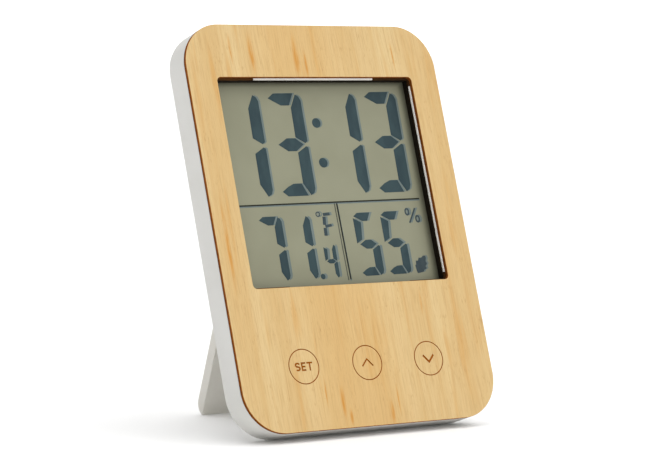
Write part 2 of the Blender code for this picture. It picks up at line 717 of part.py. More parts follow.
def build_rear_cover(frame, group):
    plate = outline_block((COVER_INNER, DEPTH), WALL + SEAM)
    cover = place("rear_cover", to_mesh(plate), WHITE, frame, group)
    housing = block((-HOUSING_HALF_WIDTH, HOUSING_HALF_WIDTH), (TRAY_FRONT, HOUSING_BACK),
                    (HOUSING_BOTTOM, HOUSING_TOP), HOUSING_CORNER, 5, HOUSING_DRAFT)
    round_rim(housing, HOUSING_BACK, HOUSING_RIM, 3)
    join(cover, "battery_housing", to_mesh(housing), group)
    join(cover, "hinge_lugs", to_mesh(lug(-1), lug(1)), group)
    cups = [rod(CUP_RADIUS, (CUP_FRONT, DEPTH - 0.4 * MM), x, z) for x, z in CASE_SCREWS]
    join(cover, "screw_cups", to_mesh(*cups), group)

    bay = block((-BAY_HALF_LENGTH, BAY_HALF_LENGTH), (TRAY_FLOOR, HOUSING_BACK + MM), bay_z(),
                0.6 * MM, steps=2)
    cut(cover, "battery_bay", to_mesh(bay), group)
    door_x, door_z = door_ranges(0.0)
    door_floor = HOUSING_BACK - DOOR_THICKNESS - 0.2 * MM
    recess = block(door_x, (door_floor, HOUSING_BACK + MM), door_z, DOOR_CORNER, steps=4)
    cut(cover, "door_recess", to_mesh(recess), group)
    tab_x, tab_z, tab_y = DOOR_TAB
    pockets = [block((x - tab_x / 2 - 0.4 * MM, x + tab_x / 2 + 0.4 * MM),
                     (door_floor - tab_y - MM, door_floor + 0.1 * MM),
                     (door_z[0] - tab_z - 0.6 * MM, door_z[0] + 2.2 * MM))
               for x in DOOR_TAB_X]
    cut(cover, "tab_pockets", to_mesh(*pockets), group)
    notch = block((-LATCH_NOTCH_HALF, LATCH_NOTCH_HALF), (door_floor, HOUSING_BACK + MM),
                  (door_z[1] - 0.5 * MM, door_z[1] + LATCH_NOTCH_HEIGHT), 1.0 * MM, steps=3)
    cut(cover, "latch_notch", to_mesh(notch), group)

    wells = [rod(HEAD_RADIUS + 0.35 * MM, (CUP_FLOOR, DEPTH + MM), x, z)
             for x, z in CASE_SCREWS]
    cut(cover, "screw_wells", to_mesh(*wells), group)
    bores = [rod(SCREW_RADIUS + SCREW_CLEARANCE, (CUP_FRONT - MM, CUP_FLOOR + MM), x, z,
                 sides=16) for x, z in CASE_SCREWS]
    cut(cover, "screw_bores", to_mesh(*bores), group)
    reach = STAND_HALF_WIDTH + PIN_LENGTH + LUG_GAP
    pin_socket = cross_rod(PIN_RADIUS + PIN_CLEARANCE, (-reach, reach), HINGE_Y, HINGE_Z)
    cut(cover, "pin_sockets", to_mesh(pin_socket), group)
    cut(cover, "cover_openings", to_mesh(*cover_openings()), group)


def build_battery_door(frame, group):
    """The door swings about its lower outer edge, where the object's origin is."""
    x, z = door_ranges(DOOR_GAP)
    hinge = bpy.data.objects.new("door_pivot", None)
    hinge.parent = frame
    hinge.location = (0.0, HOUSING_BACK, z[0])
    group["parts"].objects.link(hinge)
    height = z[1] - z[0]
    plate = block(x, (-DOOR_THICKNESS, 0.0), (0.0, height), DOOR_CORNER - DOOR_GAP, steps=4)
    door = place("battery_door", to_mesh(plate), WHITE, hinge, group)
    tab_x, tab_z, tab_y = DOOR_TAB
    tabs = [block((tab - tab_x / 2, tab + tab_x / 2),
                  (-DOOR_THICKNESS - tab_y, OVERLAP - DOOR_THICKNESS),
                  (0.4 * MM, 2.2 * MM)) for tab in DOOR_TAB_X]
    tabs += [block((tab - tab_x / 2, tab + tab_x / 2),
                   (-DOOR_THICKNESS - tab_y, -DOOR_THICKNESS - 0.5 * MM),
                   (-tab_z, 0.6 * MM)) for tab in DOOR_TAB_X]
    join(door, "door_tab_roots", to_mesh(*tabs[:2]), group)
    join(door, "door_tab_tips", to_mesh(*tabs[2:]), group)
    latch = block((-LATCH_HALF, LATCH_HALF), (0.1 * MM - DOOR_THICKNESS, -DOOR_THICKNESS / 2),
                  (height - 2 * OVERLAP, height + LATCH_REACH), 0.4 * MM, steps=2)
    join(door, "door_latch", to_mesh(latch), group)
    grooves = []
    for i in range(GRIP_GROOVES):
        low = height - GRIP_FROM_TOP + i * GRIP_PITCH
        grooves.append(block((-GRIP_HALF, GRIP_HALF), (-GRIP_DEPTH, MM), (low, low + GRIP_WIDTH)))
    cut(door, "door_grip", to_mesh(*grooves), group)


def stand_outline():
    """Side view of the folded stand about its hinge axis: (distance back, height) points."""
    half = STAND_THICKNESS / 2
    stop = STAND_STOP_GAP - (HINGE_Y - DEPTH)
    heel_low = (-half * math.cos(STAND_OPEN) - stop) / math.sin(STAND_OPEN)
    heel_in = (STAND_HEEL * math.sin(STAND_OPEN) + stop) / math.cos(STAND_OPEN)
    top = [(half - HEEL_ROUND + HEEL_ROUND * math.cos(a),
            STAND_HEEL - HEEL_ROUND + HEEL_ROUND * math.sin(a))
           for a in (math.radians(90 - 30 * i) for i in range(4))]
    arc_z = STAND_THICKNESS - STAND_LENGTH
    foot = [(-half + STAND_THICKNESS * math.cos(a), arc_z + STAND_THICKNESS * math.sin(a))
            for a in (math.radians(-90 * i / 8) for i in range(9))]
    return [(-half, heel_low), (heel_in, STAND_HEEL)] + top + foot


def build_stand(frame, group):
    pivot = bpy.data.objects.new("stand_pivot", None)
    pivot.parent = frame
    pivot.location = (0.0, HINGE_Y, HINGE_Z)
    pivot.rotation_euler.x = STAND_OPEN
    group["parts"].objects.link(pivot)
    plate = slab(stand_outline(), STAND_HALF_WIDTH)
    stand = place("stand", to_mesh(plate), WHITE, pivot, group)
    inside = STAND_HALF_WIDTH - 2.0 * MM
    reach = STAND_HALF_WIDTH + PIN_LENGTH
    pins = [cross_rod(PIN_RADIUS, x) for x in ((-reach, -inside), (inside, reach))]
    join(stand, "stand_pins", to_mesh(*pins), group)
    half = STAND_THICKNESS / 2
    wide, deep, tall = FINGER_GRIP
    low = FINGER_GRIP_HEIGHT - STAND_LENGTH
    grip = block((-wide / 2, wide / 2), (half - deep, half + MM), (low, low + tall),
                 4.0 * MM, steps=6)
    cut(stand, "finger_grip", to_mesh(grip), group)


def main():
    clear_scene()
    group = {"parts": new_collection("home_weather_station"),
             "cutters": new_collection("cutters")}
    frame = bpy.data.objects.new("case_frame", None)
    frame.rotation_euler.x = -LEAN
    frame.location = (0.0, -back_reach() / 2, ORIGIN_HEIGHT)
    group["parts"].objects.link(frame)
    build_front_panel(frame, group)
    build_panel_adhesive(frame, group)
    build_front_case(frame, group)
    build_gasket(frame, group)
    build_display(frame, group)
    build_circuit_board(frame, group)
    build_components(frame, group)
    build_touch_springs(frame, group)
    build_screws(frame, group)
    build_cells(frame, group)
    build_contacts(frame, group)
    build_wires(frame, group)
    build_rear_cover(frame, group)
    build_battery_door(frame, group)
    build_stand(frame, group)
    bpy.context.view_layer.update()


main()
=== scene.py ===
"""Looks of the home weather station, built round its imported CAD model.

Pieces are shaped in the case's own upright frame, as in the CAD source: X to the right, Y from the
bamboo's front face towards the back, Z up along the case, zero at the panel's bottom front edge.
The matrix CASE then leans their meshes back onto the stand, and materials undo it, so that grain
and depth are read along the case. All lengths are in metres.
"""
import math

import bmesh
import bpy
from mathutils import Matrix, Vector


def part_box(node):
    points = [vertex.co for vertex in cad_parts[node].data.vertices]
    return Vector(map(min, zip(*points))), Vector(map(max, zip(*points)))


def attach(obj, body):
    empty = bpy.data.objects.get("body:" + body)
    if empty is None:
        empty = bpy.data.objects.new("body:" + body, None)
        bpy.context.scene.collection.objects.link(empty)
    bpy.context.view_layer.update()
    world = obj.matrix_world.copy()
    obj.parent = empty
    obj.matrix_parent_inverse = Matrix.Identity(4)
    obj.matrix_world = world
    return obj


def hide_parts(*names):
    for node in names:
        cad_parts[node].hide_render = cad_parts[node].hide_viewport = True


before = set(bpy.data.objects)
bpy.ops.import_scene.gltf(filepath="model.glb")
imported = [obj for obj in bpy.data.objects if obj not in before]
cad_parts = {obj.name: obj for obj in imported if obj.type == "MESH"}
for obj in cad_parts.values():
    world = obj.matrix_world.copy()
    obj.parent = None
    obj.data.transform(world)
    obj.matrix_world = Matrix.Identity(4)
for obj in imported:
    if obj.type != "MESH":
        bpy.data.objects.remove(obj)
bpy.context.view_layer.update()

MM = 0.001

# Case, bamboo panel and window
LEAN = math.radians(18.6)
CORNER = 14.6 * MM
CORNER_STEPS = 24
PANEL_THICKNESS = 1.3 * MM
PANEL_ARRIS = 0.12 * MM
PANEL_BED = 0.1 * MM
WINDOW_HALF_WIDTH = 39.1 * MM
WINDOW_Z = (47.4 * MM, 118.6 * MM)
WINDOW_CORNER = 1.5 * MM
WINDOW_CORNER_STEPS = 10

# Where tints start and stop: the lips made paler as a painted highlight, the painted shadow along the
# display's top and right edges, the gasket's brown towards the wood, and the bands and ends of the
# cells
LIP_HIGHLIGHT_SIDE = (WINDOW_HALF_WIDTH + MM, WINDOW_HALF_WIDTH + 2 * MM)
LIP_HIGHLIGHT_DEPTH = (2.2 * MM, 2.6 * MM)
LIP_HIGHLIGHT_BOTTOM = (WINDOW_Z[0] + MM, WINDOW_Z[0] + 3 * MM)
FILM_SHADOW_RIGHT = (35.4 * MM, 38.8 * MM)
FILM_SHADOW_TOP = (116.2 * MM, 118.5 * MM)
BROWN_DEPTH = (1.7 * MM, 2.7 * MM)
BROWN_ACROSS = (2 * MM, 34 * MM)
BROWN_DRIFT = 0.25 * MM
CELL_BAND = ((12.0 * MM, 12.4 * MM), (14.6 * MM, 15.0 * MM))
CELL_END = (20.1 * MM, 20.2 * MM)

# Rounding of the white mouldings' edges, and where two of them are split to stay free of slivers
CASE_EDGE = 0.13 * MM
COVER_EDGE = 0.15 * MM
DOOR_EDGE = 0.09 * MM
STAND_EDGE = 0.25 * MM
EDGE_STEPS = 3
LATCH_SIDE = 4.0 * MM
NOTCH_SIDE = 6.0 * MM
FLAT_ANGLE = math.radians(0.6)
CREASE_ANGLE = math.radians(35)
WELD_DISTANCE = 0.0001 * MM
SPLIT_REACH = 0.001 * MM

# Engraved touch keys
KEYS = {"set": Vector((-25.2 * MM, 21.1 * MM)), "up": Vector((-0.3 * MM, 20.9 * MM)),
        "down": Vector((24.6 * MM, 20.85 * MM))}
KEY_RADIUS = 5.7 * MM
RING_WIDTH = 0.4 * MM
RING_DRAFT = 0.18
RING_STEPS = 96
LETTER_WIDTH = 0.56 * MM
UP_WIDTH = 0.52 * MM
DOWN_WIDTH = 0.7 * MM
ENGRAVE_DEPTH = 0.18 * MM
ENGRAVE_START = -0.1 * MM
LETTER_HALF_HEIGHT = 1.16 * MM
S_HALF_WIDTH = 0.76 * MM
S_STEPS = 8
E_ARM = 1.45 * MM
T_ARM = 1.1 * MM
ARROW_HALF_WIDTH = 2.15 * MM
ARROW_TOP = 1.2 * MM
ARROW_HEIGHT = 2.35 * MM

# Display artwork. A digit's size is its width, its height and the width of its strokes. Cells are
# a digit and the x coordinate, in mm, where it ends. Strokes and lines are two (x, z) points and a
# width, in mm.
ART_TURN = math.radians(0.5)
ART_MIDDLE = Vector((0.0, 83.0 * MM))
GLYPH_SLANT = math.tan(math.radians(1.3))
ART_LIFT = 0.03 * MM
SHADOW_LIFT = 0.012 * MM
TIME_SHADOW = Vector((0.75 * MM, 0.1 * MM))
CLIMATE_SHADOW = Vector((0.95 * MM, 0.1 * MM))
SIGN_SHADOW = Vector((0.8 * MM, 0.1 * MM))
RULE_SHADOW = Vector((0.1 * MM, -0.4 * MM))
TIME_DIGIT = (14.1 * MM, 35.4 * MM, 4.35 * MM)
CLIMATE_DIGIT = (9.55 * MM, 21.7 * MM, 3.0 * MM)
TENTHS_DIGIT = (5.0 * MM, 11.4 * MM, 1.45 * MM)
TIME_BASE = 79.1 * MM
CLIMATE_BASE = 50.8 * MM
TIME_CELLS = (("1", -21.8), ("3", -4.9), ("1", 17.2), ("3", 34.2))
CLIMATE_CELLS = (("7", -21.1), ("1", -10.0), ("5", 16.5), ("5", 27.75))
TENTHS_END = -1.7 * MM
COLON_DOTS = ((0.25, 104.0), (0.05, 90.2))
COLON_RADIUS = 1.7 * MM
POINT_MIDDLE = (-8.5 * MM, CLIMATE_BASE + 0.7 * MM)
POINT_RADII = (0.9 * MM, 0.95 * MM)
DOT_STEPS = 20
DEGREE_RING = (-6.0 * MM, 72.6 * MM, 0.75 * MM, 0.75 * MM, 0.4 * MM)
PER_CENT_RINGS = ((30.4, 72.1), (34.3, 69.5))
PER_CENT_SIZE = (0.72 * MM, 1.05 * MM, 0.62 * MM)
HALF_RING_STEPS = 10
SIGN_STROKES = (((-3.75, 71.7), (-4.05, 68.9), 1.25), ((-4.1, 67.9), (-4.3, 65.2), 1.25),
                ((-4.0, 72.45), (-1.3, 72.6), 1.05), ((-3.9, 68.35), (-1.3, 68.75), 0.95),
                ((33.9, 73.3), (30.7, 68.2), 0.62))
LEAF_STEM = Vector((30.0, 50.7)) * MM
LEAF_TIP = Vector((34.3, 56.6)) * MM
LEAF_TEETH = 4
RULES = (((-37.8, 76.5), (36.6, 76.5), 0.5), ((2.34, 76.1), (2.34, 50.0), 0.58))
FAINT_RULES = (((1.4, 76.1), (1.4, 49.75), 0.42),)
LIT = {"1": "bc", "3": "abcdg", "4": "bcfg", "5": "acdfg", "7": "abc"}

# Camera
CAMERA_TARGET = Vector((-8.7 * MM, -16.2 * MM, 65.1 * MM))
CAMERA_DISTANCE = 885.1 * MM
CAMERA_TURN = math.radians(34.49)
CAMERA_DROP = math.radians(3.89)
CAMERA_ROLL = math.radians(0.4)
CAMERA_LENS = 150.8
SENSOR_WIDTH = 36.0
CLIP = (0.02, 200.0)

# Floor and light: where the soft key comes from, how strong and how wide it is, and the parts of the
# sky, each as an axis, the span of the direction along it, and the strength at that span's two ends
FLOOR_HALF = 40.0
FLOOR_DROP = 0.05 * MM
FLOOR_CLOUD = 0.35
KEY_FROM = (0.6, -0.5, 0.75)
KEY_STRENGTH = 0.5
KEY_ANGLE = math.radians(50)
SKY_PARTS = (("X", (-0.9, 0.2, 0.28, 0.66)), ("Z", (0.03, 0.09, 0.75, 0.0)),
             ("Z", (0.55, 0.90, 0.0, 1.35)))


def case_frame():
    """Matrix from the upright case to the case as it leans on its stand."""
    low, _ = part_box("front_panel")
    rise = low.z + PANEL_THICKNESS * math.sin(LEAN)
    return Matrix.Translation((0.0, low.y, rise)) @ Matrix.Rotation(-LEAN, 4, "X")


CASE = case_frame()
TO_CASE = CASE.inverted()


def case_box(node):
    """Lowest and highest corner of a CAD node in the case's own frame."""
    points = [TO_CASE @ v.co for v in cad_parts[node].data.vertices]
    return (Vector(map(min, zip(*points))), Vector(map(max, zip(*points))))


# Materials

def srgb(red, green, blue):
    """A colour given as 0 to 255 screen values, as the linear colour that the shader takes."""
    parts = [value / 255 for value in (red, green, blue)]
    linear = [p / 12.92 if p <= 0.04045 else ((p + 0.055) / 1.055) ** 2.4 for p in parts]
    return (*linear, 1.0)


def smooth_ramp(nodes, low, high, bottom, top):
    """A node that eases from bottom to top as its value passes from low to high."""
    node = nodes.new("ShaderNodeMapRange")
    node.interpolation_type = "SMOOTHSTEP"
    for socket, number in (("From Min", low), ("From Max", high),
                           ("To Min", bottom), ("To Max", top)):
        node.inputs[socket].default_value = number
    return node


class Look:
    """A procedural material, with short ways to add nodes to it."""

    def __init__(self, name, **settings):
        self.material = bpy.data.materials.new(name)
        self.material.use_nodes = True
        self.nodes = self.material.node_tree.nodes
        self.links = self.material.node_tree.links
        self.shader = self.nodes["Principled BSDF"]
        unlean = self.nodes.new("ShaderNodeMapping")
        unlean.vector_type = "TEXTURE"
        unlean.inputs["Location"].default_value = CASE.translation
        unlean.inputs["Rotation"].default_value = CASE.to_euler()
        coordinates = self.nodes.new("ShaderNodeTexCoord")
        self.links.new(coordinates.outputs["Object"], unlean.inputs["Vector"])
        self.place = unlean.outputs["Vector"]
        for socket, value in settings.items():
            self.shader.inputs[socket.replace("_", " ")].default_value = value

    def feed(self, socket, source):
        """Links an output to the input socket, or sets a plain value on it."""
        if isinstance(source, bpy.types.NodeSocket):
            self.links.new(source, socket)
        else:
            socket.default_value = source

    def vector(self, operation, first, second):
        node = self.nodes.new("ShaderNodeVectorMath")
        node.operation = operation
        self.feed(node.inputs[0], first)
        self.feed(node.inputs[1], second)
        return node.outputs["Vector"]

    def maths(self, operation, first, second=0.0):
        node = self.nodes.new("ShaderNodeMath")
        node.operation = operation
        self.feed(node.inputs[0], first)
        self.feed(node.inputs[1], second)
        return node.outputs["Value"]

    def noise(self, size, detail=2.0, shift=0.0, place=None):
        """Noise from 0 to 1 whose blotches have about the given size along x, y and z."""
        scale = tuple(1.0 / length for length in size)
        scaled = self.vector("MULTIPLY", place or self.place, scale)
        node = self.nodes.new("ShaderNodeTexNoise")
        node.inputs["Scale"].default_value = 1.0
        node.inputs["Detail"].default_value = detail
        self.feed(node.inputs["Vector"], self.vector("ADD", scaled, (shift, shift, shift)))
        return node.outputs["Fac"]

    def span(self, value, low, high, bottom=0.0, top=1.0):
        """Eases the value from bottom to top as it passes from low to high."""
        node = smooth_ramp(self.nodes, low, high, bottom, top)
        self.feed(node.inputs["Value"], value)
        return node.outputs["Result"]

    def mix(self, share, first, second):
        """The first colour, or the second where the share is 1."""
        node = self.nodes.new("ShaderNodeMix")
        node.data_type = "RGBA"
        self.feed(node.inputs[0], share)
        self.feed(node.inputs[6], first)
        self.feed(node.inputs[7], second)
        return node.outputs[2]

    def axis(self, index, place=None):
        node = self.nodes.new("ShaderNodeSeparateXYZ")
        self.feed(node.inputs[0], place or self.place)
        return node.outputs[index]

    def paint(self, colour, roughness, height=None, distance=0.01 * MM):
        """Links the finished colour and roughness, and any bump, and returns the material."""
        self.feed(self.shader.inputs["Base Color"], colour)
        self.feed(self.shader.inputs["Roughness"], roughness)
        if height is not None:
            bump = self.nodes.new("ShaderNodeBump")
            bump.inputs["Distance"].default_value = distance
            self.feed(bump.inputs["Height"], height)
            self.feed(self.shader.inputs["Normal"], bump.outputs["Normal"])
        return self.material


# Bamboo colours: its two ground tones, the tan of its middle, its marks, and the laser's scorching
WOOD = {name: srgb(*values) for name, values in {
    "pale": (219, 192, 140), "straw": (212, 180, 125), "tan": (213, 174, 112),
    "line": (209, 169, 110), "flush": (208, 159, 90), "fibre": (184, 143, 90),
    "hair": (180, 131, 76), "vessel": (172, 120, 62), "resin": (203, 141, 56),
    "scorch": (158, 88, 12), "char": (94, 46, 5)}.items()}

# Bamboo marks: size in mm across, through and along the grain, then noise detail and seed
GRAIN = {
    "wave": ((14, 14, 55), 1.0, 0.0), "tone": ((9, 9, 160), 2.0, 3.0),
    "line": ((1.3, 4, 60), 3.0, 7.0), "fibre": ((0.3, 1, 9), 3.0, 11.0),
    "hair": ((0.42, 1, 24), 1.0, 13.0), "vessel": ((0.32, 1, 2.4), 1.0, 17.0),
    "flush": ((3.4, 4, 45), 2.0, 23.0), "cluster": ((5, 5, 12), 2.0, 29.0),
    "patch": ((1.1, 0.4, 1.1), 3.0, 31.0), "ragged": ((0.5, 1, 9), 3.0, 41.0)}
GRAIN_DRIFT = 2.2 * MM
TAN_MIDDLE = -5 * MM
TAN_REACH = (6 * MM, 26 * MM)

# Resin streaks of the bamboo, in mm: x and z of the middle, half width and half length
RESIN_STREAKS = (
    (-12.6, 8.6, 1.2, 7.0), (-10.3, 3.4, 0.9, 4.0), (-18.5, 12.0, 0.5, 7.0),
    (6.0, 4.0, 1.3, 5.5), (9.5, 8.0, 0.7, 7.0), (-6.5, 126.0, 1.7, 10.0),
    (-3.0, 123.0, 0.8, 7.0), (-24.0, 126.0, 1.6, 10.0), (-32.0, 128.0, 0.8, 7.0),
    (33.0, 127.0, 0.5, 8.0), (-46.0, 62.0, 1.0, 22.0), (26.0, 40.0, 0.5, 6.0))


def wood_noise(look, kind, place=None):
    """Noise drawn out like one kind of mark in the wood."""
    size, detail, seed = GRAIN[kind]
    return look.noise([length * MM for length in size], detail, seed, place)


def bamboo():
    """Pale laminated bamboo with upright grain, scorched brown wherever the laser cut it."""
    look = Look("bamboo", Specular_IOR_Level=0.2)
    drift = look.maths("MULTIPLY", look.maths("SUBTRACT", wood_noise(look, "wave"), 0.5), GRAIN_DRIFT)
    combine = look.nodes.new("ShaderNodeCombineXYZ")
    look.feed(combine.inputs[0], drift)
    place = look.vector("ADD", look.place, combine.outputs[0])
    tone, line, fibre, hair, vessel, flush, cluster = (
        wood_noise(look, kind, place)
        for kind in ("tone", "line", "fibre", "hair", "vessel", "flush", "cluster"))

    colour = look.mix(look.span(tone, 0.36, 0.64), WOOD["pale"], WOOD["straw"])
    aside = look.maths("ABSOLUTE", look.maths("SUBTRACT", look.axis(0, place), TAN_MIDDLE))
    colour = look.mix(look.span(aside, *TAN_REACH, 0.55, 0.0), colour, WOOD["tan"])
    colour = look.mix(look.span(line, 0.42, 0.74, 0.0, 0.36), colour, WOOD["line"])
    colour = look.mix(look.span(flush, 0.54, 0.74, 0.0, 0.66), colour, WOOD["flush"])
    colour = look.mix(look.span(fibre, 0.44, 0.74, 0.0, 0.42), colour, WOOD["fibre"])
    colour = look.mix(look.span(hair, 0.62, 0.74, 0.0, 0.34), colour, WOOD["hair"])
    dashes = look.maths("MULTIPLY", look.span(vessel, 0.58, 0.72),
                        look.span(cluster, 0.45, 0.66, 0.1, 0.45))
    colour = look.mix(dashes, colour, WOOD["vessel"])
    colour = look.mix(resin_mask(look, place), colour, WOOD["resin"])

    depth = look.axis(1)
    patch = wood_noise(look, "patch")
    sooty = look.maths("ADD", look.span(depth, 0.12 * MM, 0.8 * MM, 0.0, 0.75),
                       look.span(patch, 0.40, 0.62, -0.1, 0.25))
    char = look.mix(sooty, WOOD["scorch"], WOOD["char"])
    edge = look.maths("ADD", depth, look.maths("MULTIPLY", look.maths("SUBTRACT", patch, 0.5),
                                               0.08 * MM))
    burnt = look.span(edge, 0.01 * MM, 0.06 * MM)
    colour = look.mix(burnt, colour, char)
    relief = look.maths("SUBTRACT", fibre, look.span(vessel, 0.60, 0.76, 0.0, 0.8))
    roughness = look.maths("ADD", look.span(line, 0.3, 0.7, 0.62, 0.50),
                           look.span(burnt, 0.0, 1.0, 0.0, 0.34))
    return look.paint(colour, roughness, relief, 0.014 * MM)


def resin_mask(look, place):
    """1 in the middle of each resin streak, fading to 0 along a pointed oval."""
    total = None
    for x, z, half_width, half_length in RESIN_STREAKS:
        offset = look.vector("SUBTRACT", place, (x * MM, 0.0, z * MM))
        scaled = look.vector("MULTIPLY", offset,
                             (1 / (half_width * MM), 0.0, 1 / (half_length * MM)))
        node = look.nodes.new("ShaderNodeVectorMath")
        node.operation = "LENGTH"
        look.feed(node.inputs[0], scaled)
        streak = look.span(node.outputs["Value"], 0.1, 1.0, 1.0, 0.0)
        total = streak if total is None else look.maths("MAXIMUM", total, streak)
    ragged = look.span(wood_noise(look, "ragged", place), 0.30, 0.58, 0.15, 0.9)
    return look.maths("MULTIPLY", total, ragged)


def plastic(name, colour, shade, grain=0.45 * MM, lip_highlight=None):
    """Matte moulded plastic, finely spark-eroded, with a faint uneven sheen and painted highlight on
    any lips.
    """
    look = Look(name, Specular_IOR_Level=0.45)
    cloud = look.noise((22 * MM,) * 3, 3.0)
    fine = look.noise((grain,) * 3, 2.0, 5.0)
    rub = look.noise((6 * MM, 6 * MM, 9 * MM), 4.0, 9.0)
    tint = look.mix(look.span(cloud, 0.35, 0.65), colour, shade)
    # Painted highlight: the shallow lips round the window are painted paler than the plastic,
    # standing in for light on them.
    if lip_highlight:
        reach = look.maths("ABSOLUTE", look.axis(0))
        inside = look.span(reach, *LIP_HIGHLIGHT_SIDE, 1.0, 0.0)
        shallow = look.span(look.axis(1), *LIP_HIGHLIGHT_DEPTH, 1.0, 0.0)
        above = look.span(look.axis(2), *LIP_HIGHLIGHT_BOTTOM)
        lip_highlight_mask = look.maths("MULTIPLY", look.maths("MULTIPLY", inside, shallow), above)
        tint = look.mix(lip_highlight_mask, tint, lip_highlight)
    return look.paint(tint, look.span(rub, 0.35, 0.65, 0.40, 0.52), fine, 0.012 * MM)


def metal(name, colour, roughness, grain):
    """Plated metal with fine brushing and slightly tarnished patches."""
    look = Look(name, Metallic=1.0)
    brush = look.noise(grain, 3.0)
    patch = look.noise((2.5 * MM,) * 3, 3.0, 4.0)
    dull = tuple(0.72 * part for part in colour[:3]) + (1.0,)
    tint = look.mix(look.span(patch, 0.40, 0.70), colour, dull)
    shine = look.maths("ADD", look.span(patch, 0.35, 0.7, roughness, roughness + 0.12),
                       look.span(brush, 0.3, 0.7, 0.0, 0.08))
    return look.paint(tint, shine, brush, 0.004 * MM)


def speckled(name, colour, shade, size, roughness):
    """A surface of two close tones in fine blotches, for adhesive, epoxy and wire insulation."""
    look = Look(name)
    blotch = look.noise((size,) * 3, 3.0)
    broad = look.noise((12 * size,) * 3, 2.0, 6.0)
    share = look.maths("ADD", look.span(blotch, 0.35, 0.68, 0.0, 0.6),
                       look.span(broad, 0.4, 0.65, 0.0, 0.4))
    tint = look.mix(share, colour, shade)
    return look.paint(tint, look.span(broad, 0.3, 0.7, roughness - 0.06, roughness + 0.06), blotch)


def gasket_foam():
    """Black foam with open cells, browner towards the wood and less so towards the right."""
    look = Look("black_foam", Specular_IOR_Level=0.12)
    cells = look.noise((0.25 * MM,) * 3, 3.0)
    brown_blotch = look.noise((4 * MM,) * 3, 3.0, 6.0)
    black = look.mix(look.span(cells, 0.35, 0.68), srgb(14, 11, 6), srgb(34, 27, 17))
    # Browner where the foam is shallow, towards the wood, and less so towards the right.
    reach = look.maths("ADD", look.axis(1), look.span(brown_blotch, 0.3, 0.7, -BROWN_DRIFT, BROWN_DRIFT))
    browned = look.maths("MULTIPLY", look.span(reach, *BROWN_DEPTH, 1.0, 0.0),
                         look.span(look.axis(0), *BROWN_ACROSS, 0.8, 0.4))
    tint = look.mix(browned, black, srgb(92, 58, 24))
    return look.paint(tint, look.span(cells, 0.3, 0.7, 0.8, 0.9), cells, 0.04 * MM)


def display_film():
    """Grey-green satin polarizing film, faintly mottled, with painted shadow at its top and right
    edges.
    """
    look = Look("display_film", Specular_IOR_Level=0.12)
    cloud = look.noise((16 * MM,) * 3, 2.0)
    fine = look.noise((0.3 * MM,) * 3, 2.0, 8.0)
    tint = look.mix(look.span(cloud, 0.3, 0.7), srgb(145, 145, 123), srgb(140, 140, 118))
    # Painted shadow: the film darkens towards its top and right edges, where the window's walls shade
    # it.
    shade = look.maths("MAXIMUM", look.span(look.axis(0), *FILM_SHADOW_RIGHT, 0.0, 0.62),
                       look.span(look.axis(2), *FILM_SHADOW_TOP, 0.0, 0.66))
    tint = look.mix(shade, tint, srgb(20, 19, 8))
    return look.paint(tint, look.span(cloud, 0.3, 0.7, 0.36, 0.42), fine, 0.003 * MM)


def display_ink(name, colour, shade):
    """Liquid-crystal segments: smoky blue, a touch uneven."""
    look = Look(name, Specular_IOR_Level=0.12)
    cloud = look.noise((3.5 * MM, 3.5 * MM, 7 * MM), 2.0)
    tint = look.mix(look.span(cloud, 0.35, 0.65), colour, shade)
    return look.paint(tint, look.span(cloud, 0.3, 0.7, 0.36, 0.42))


def glass():
    """Display glass with a faint green body and light smears."""
    look = Look("display_glass", Transmission_Weight=0.85, IOR=1.5)
    smear = look.noise((5 * MM, 5 * MM, 14 * MM), 4.0)
    tint = look.mix(look.span(smear, 0.4, 0.7), srgb(226, 236, 230), srgb(212, 224, 217))
    return look.paint(tint, look.span(smear, 0.4, 0.7, 0.04, 0.12))


def laminate():
    """Green solder mask over a weave of glass cloth, with copper tracks showing through."""
    look = Look("circuit_laminate", Specular_IOR_Level=0.5)
    weave = look.nodes.new("ShaderNodeTexWave")
    weave.inputs["Scale"].default_value = 1.0
    weave.inputs["Distortion"].default_value = 0.6
    look.feed(weave.inputs["Vector"], look.vector("MULTIPLY", look.place, (900.0,) * 3))
    cells = look.nodes.new("ShaderNodeTexVoronoi")
    cells.distance = "CHEBYCHEV"
    cells.inputs["Scale"].default_value = 1.0
    look.feed(cells.inputs["Vector"], look.vector("MULTIPLY", look.place, (260.0, 1.0, 180.0)))
    track = look.span(cells.outputs["Distance"], 0.44, 0.50)
    base = look.mix(look.span(weave.outputs["Fac"], 0.0, 1.0, 0.0, 0.3), srgb(20, 86, 44),
                    srgb(30, 104, 56))
    tint = look.mix(track, base, srgb(58, 132, 72))
    return look.paint(tint, look.span(weave.outputs["Fac"], 0.0, 1.0, 0.34, 0.46),
                      track, 0.02 * MM)


def striped_rubber():
    """Elastomer connector: thin conducting layers between insulating ones."""
    look = Look("zebra_rubber")
    stripe = look.maths("PINGPONG", look.axis(0), 0.09 * MM)
    tint = look.mix(look.span(stripe, 0.03 * MM, 0.06 * MM), srgb(36, 36, 38), srgb(150, 142, 140))
    blotch = look.noise((0.8 * MM,) * 3, 2.0)
    return look.paint(tint, look.span(blotch, 0.3, 0.7, 0.55, 0.7), stripe, 0.01 * MM)


def cell_jacket():
    """Shrink sleeve of a dry cell: deep blue, with a silver band near each end, and steel ends."""
    look = Look("cell_jacket", Specular_IOR_Level=0.6)
    reach = look.maths("ABSOLUTE", look.axis(0))
    band = look.maths("MULTIPLY", look.span(reach, *CELL_BAND[0]),
                      look.span(reach, *CELL_BAND[1], 1.0, 0.0))
    end = look.span(reach, *CELL_END)
    crease = look.noise((2.5 * MM, 1.2 * MM, 1.2 * MM), 3.0)
    tint = look.mix(look.span(crease, 0.35, 0.65), srgb(34, 66, 128), srgb(26, 54, 112))
    tint = look.mix(band, tint, srgb(196, 198, 202))
    tint = look.mix(end, tint, srgb(178, 178, 176))
    look.feed(look.shader.inputs["Metallic"], end)
    return look.paint(tint, look.span(crease, 0.3, 0.7, 0.26, 0.40), crease, 0.05 * MM)
